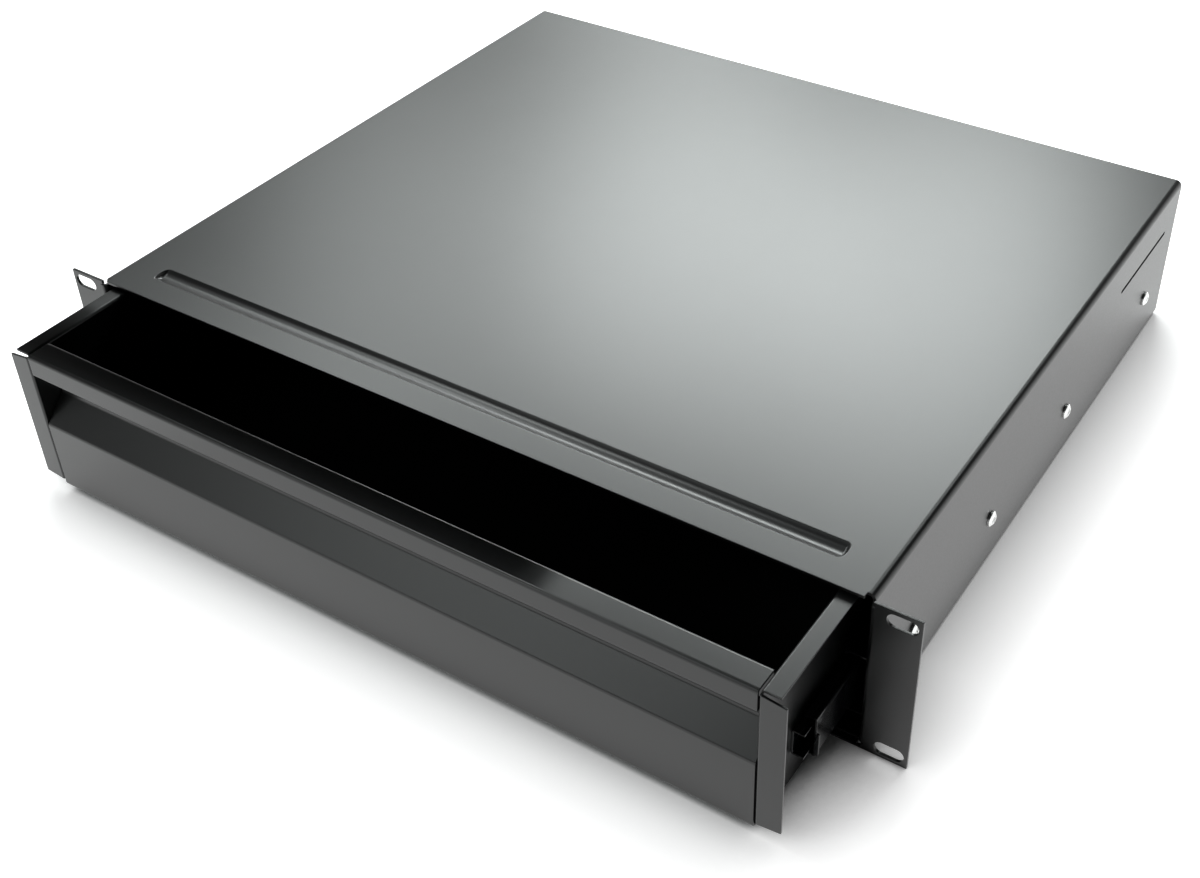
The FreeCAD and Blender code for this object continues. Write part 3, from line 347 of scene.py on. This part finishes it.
# ------------------------------------------------------------------ floor
# A round sheet of white paper that sweeps up at its rim, so that it is the background too.
# Its white is a glow, and a painted contact shadow darkens that glow towards the object over
# about 60 mm, read from how open the space above it is; further out it is plain white. A reflection
# shows the painted shadow narrower.
SWEEP_RADIUS = 7.0
SWEEP_HEIGHT = 2.0
SWEEP_BEND = 1.0
CONTACT_REACH = 60 * MM
PAPER_FIBRE = 2 * MM
floor = bpy.data.objects.new("floor", bpy.data.meshes.new("floor"))
bpy.context.scene.collection.objects.link(floor)
sweep = bmesh.new()
bmesh.ops.create_circle(sweep, cap_ends=True, segments=96, radius=SWEEP_RADIUS)
rim = list(sweep.edges)
upturn = bmesh.ops.extrude_edge_only(sweep, edges=rim)["geom"]
bmesh.ops.translate(sweep, vec=(0, 0, SWEEP_HEIGHT),
                    verts=[vert for vert in upturn if isinstance(vert, bmesh.types.BMVert)])
bmesh.ops.bevel(sweep, geom=rim, offset=SWEEP_BEND, affect="EDGES", segments=12, profile=0.5,
                material=-1)
bmesh.ops.recalc_face_normals(sweep, faces=sweep.faces)
bmesh.ops.reverse_faces(sweep, faces=sweep.faces)
bmesh.ops.translate(sweep, vec=(0, 0, cad_box[0][2]), verts=sweep.verts)
for face in sweep.faces:
    face.smooth = True
sweep.to_mesh(floor.data)
sweep.free()
paper, tree, output, place = new_material("white_paper")
fibre = node(tree, "ShaderNodeTexNoise", {"Vector": place, "Scale": 1 / PAPER_FIBRE,
                                          "Detail": 2.0})
tooth = node(tree, "ShaderNodeBump", {"Height": fibre.outputs["Fac"], "Strength": 0.1,
                                      "Distance": 0.02 * MM})
matt = node(tree, "ShaderNodeBsdfDiffuse", {"Color": linear("#EBEBEB"),
                                            "Normal": tooth.outputs["Normal"]})
contact = node(tree, "ShaderNodeAmbientOcclusion", {"Distance": CONTACT_REACH}, samples=16)
path = node(tree, "ShaderNodeLightPath")
# The painted contact shadow makes the paper's glow black where the open share above it is at
# or under "closed", and plain white from "clear" on: 0.28 and 0.95 for the camera, 0.4 and 0.6 for
# everything else.
closed = node(tree, "ShaderNodeMath", {0: path.outputs["Is Camera Ray"], 1: -0.12, 2: 0.4},
              operation="MULTIPLY_ADD")
clear = node(tree, "ShaderNodeMath", {0: path.outputs["Is Camera Ray"], 1: 0.35, 2: 0.6},
             operation="MULTIPLY_ADD")
# Painted contact shadow: the glow's strength falls with the occlusion reading.
painted_contact_shadow = node(tree, "ShaderNodeMapRange", {"Value": contact.outputs["AO"],
                                            "From Min": closed.outputs["Value"],
                                            "From Max": clear.outputs["Value"]})
seen = node(tree, "ShaderNodeMath", {0: path.outputs["Is Camera Ray"],
                                     1: path.outputs["Is Glossy Ray"]}, operation="MAXIMUM")
seen = node(tree, "ShaderNodeMath", {0: seen.outputs["Value"],
                                     1: path.outputs["Is Transmission Ray"]}, operation="MAXIMUM")
white = node(tree, "ShaderNodeMath", {0: seen.outputs["Value"], 1: painted_contact_shadow.outputs["Result"]},
             operation="MULTIPLY")
glow = node(tree, "ShaderNodeEmission", {"Strength": white.outputs["Value"]})
both = node(tree, "ShaderNodeAddShader", {0: matt.outputs["BSDF"], 1: glow.outputs["Emission"]})
tree.links.new(both.outputs["Shader"], output.inputs["Surface"])
floor.data.materials.append(paper)

# ------------------------------------------------------------------ lights
# Soft boxes stand behind the object on its left and shine over it, so the cover mirrors
# them. One stands in front for the finger recess, and one hangs high on the left for the
# bends. A dim grey studio lies all round.
world = bpy.data.worlds.new("studio")
bpy.context.scene.world = world
world.use_nodes = True
world.node_tree.nodes.clear()
room = node(world.node_tree, "ShaderNodeBackground", {"Color": (1, 1, 1, 1), "Strength": 0.03})
output = node(world.node_tree, "ShaderNodeOutputWorld")
world.node_tree.links.new(room.outputs["Background"], output.inputs["Surface"])

SOFT_BOX_AIM = Vector((0, 0.12, 0))
SOFT_BOX_REACH = 2.5
SOFT_BOX_TINT = (0.95, 1.0, 0.99)


def soft_box(name, turn, height, size, power):
    """A round soft box: turn is its bearing from the front, counted over the right side."""
    lamp = bpy.data.lights.new(name, "AREA")
    lamp.shape = "DISK"
    lamp.size = size
    lamp.energy = power
    lamp.color = SOFT_BOX_TINT
    holder = bpy.data.objects.new(name, lamp)
    bpy.context.scene.collection.objects.link(holder)
    turn, height = math.radians(turn), math.radians(height)
    reach = Vector((math.sin(turn) * math.cos(height), -math.cos(turn) * math.cos(height),
                    math.sin(height)))
    holder.location = SOFT_BOX_AIM + SOFT_BOX_REACH * reach
    holder.rotation_euler = (-reach).to_track_quat("-Z", "Y").to_euler()
    holder.visible_camera = False


soft_box("key_box", 210, 34, 0.65, 12.8)
soft_box("key_box_right", 195, 34, 0.65, 12.3)
soft_box("key_box_left", 225, 34, 0.65, 5.7)
soft_box("high_box", 195, 46, 0.65, 4.3)
soft_box("high_box_left", 240, 46, 0.65, 8.8)
soft_box("high_box_right", 165, 46, 0.65, 5.3)
soft_box("low_box", 210, 7, 0.8, 9.5)
soft_box("front_box", 330, 37, 1.25, 9.5)
soft_box("top_box", 272, 61, 0.6, 10.0)

# A black card hangs over the open drawer, out of the camera's sight, and keeps it dark. It
# is 340 mm wide and 52 mm deep, 21 mm above the level of the cover.
CARD_SIZE = (0.34, 0.052, 1)
CARD_PLACE = (-0.09, -0.03, 0.066)
flag = bpy.data.objects.new("drawer_flag", bpy.data.meshes.new("drawer_flag"))
bpy.context.scene.collection.objects.link(flag)
card = bmesh.new()
bmesh.ops.create_grid(card, x_segments=1, y_segments=1, size=0.5)
bmesh.ops.scale(card, vec=CARD_SIZE, verts=card.verts)
bmesh.ops.translate(card, vec=CARD_PLACE, verts=card.verts)
card.to_mesh(flag.data)
card.free()
flag.visible_camera = False
black_card, tree, output, _ = new_material("black_card")
matt = node(tree, "ShaderNodeBsdfDiffuse", {"Color": (0, 0, 0, 1)})
tree.links.new(matt.outputs["BSDF"], output.inputs["Surface"])
flag.data.materials.append(black_card)

# ------------------------------------------------------------------ camera
# A standard lens at the height of someone standing at the bench, to the right of the front.
CAMERA_PLACE = (0.3949, -0.4232, 0.4954)
azimuth, elevation, roll = (math.radians(angle) for angle in (32.36, 37.36, -0.49))
back = Vector((math.sin(azimuth) * math.cos(elevation), -math.cos(azimuth) * math.cos(elevation),
               math.sin(elevation)))
level_right = Vector((math.cos(azimuth), math.sin(azimuth), 0))
level_up = back.cross(level_right)
right = level_right * math.cos(roll) + level_up * math.sin(roll)
up = level_up * math.cos(roll) - level_right * math.sin(roll)
camera = bpy.data.objects.new("camera", bpy.data.cameras.new("camera"))
bpy.context.scene.collection.objects.link(camera)
camera.matrix_world = Matrix.Translation(CAMERA_PLACE) @ Matrix(
    (right, up, back)).transposed().to_4x4()
camera.data.lens = 48.0
camera.data.sensor_width = 36.0
camera.data.shift_x = -0.063
camera.data.shift_y = -0.0435
camera.data.clip_start = 0.01
bpy.context.scene.camera = camera
bpy.context.scene.view_settings.view_transform = "Standard"
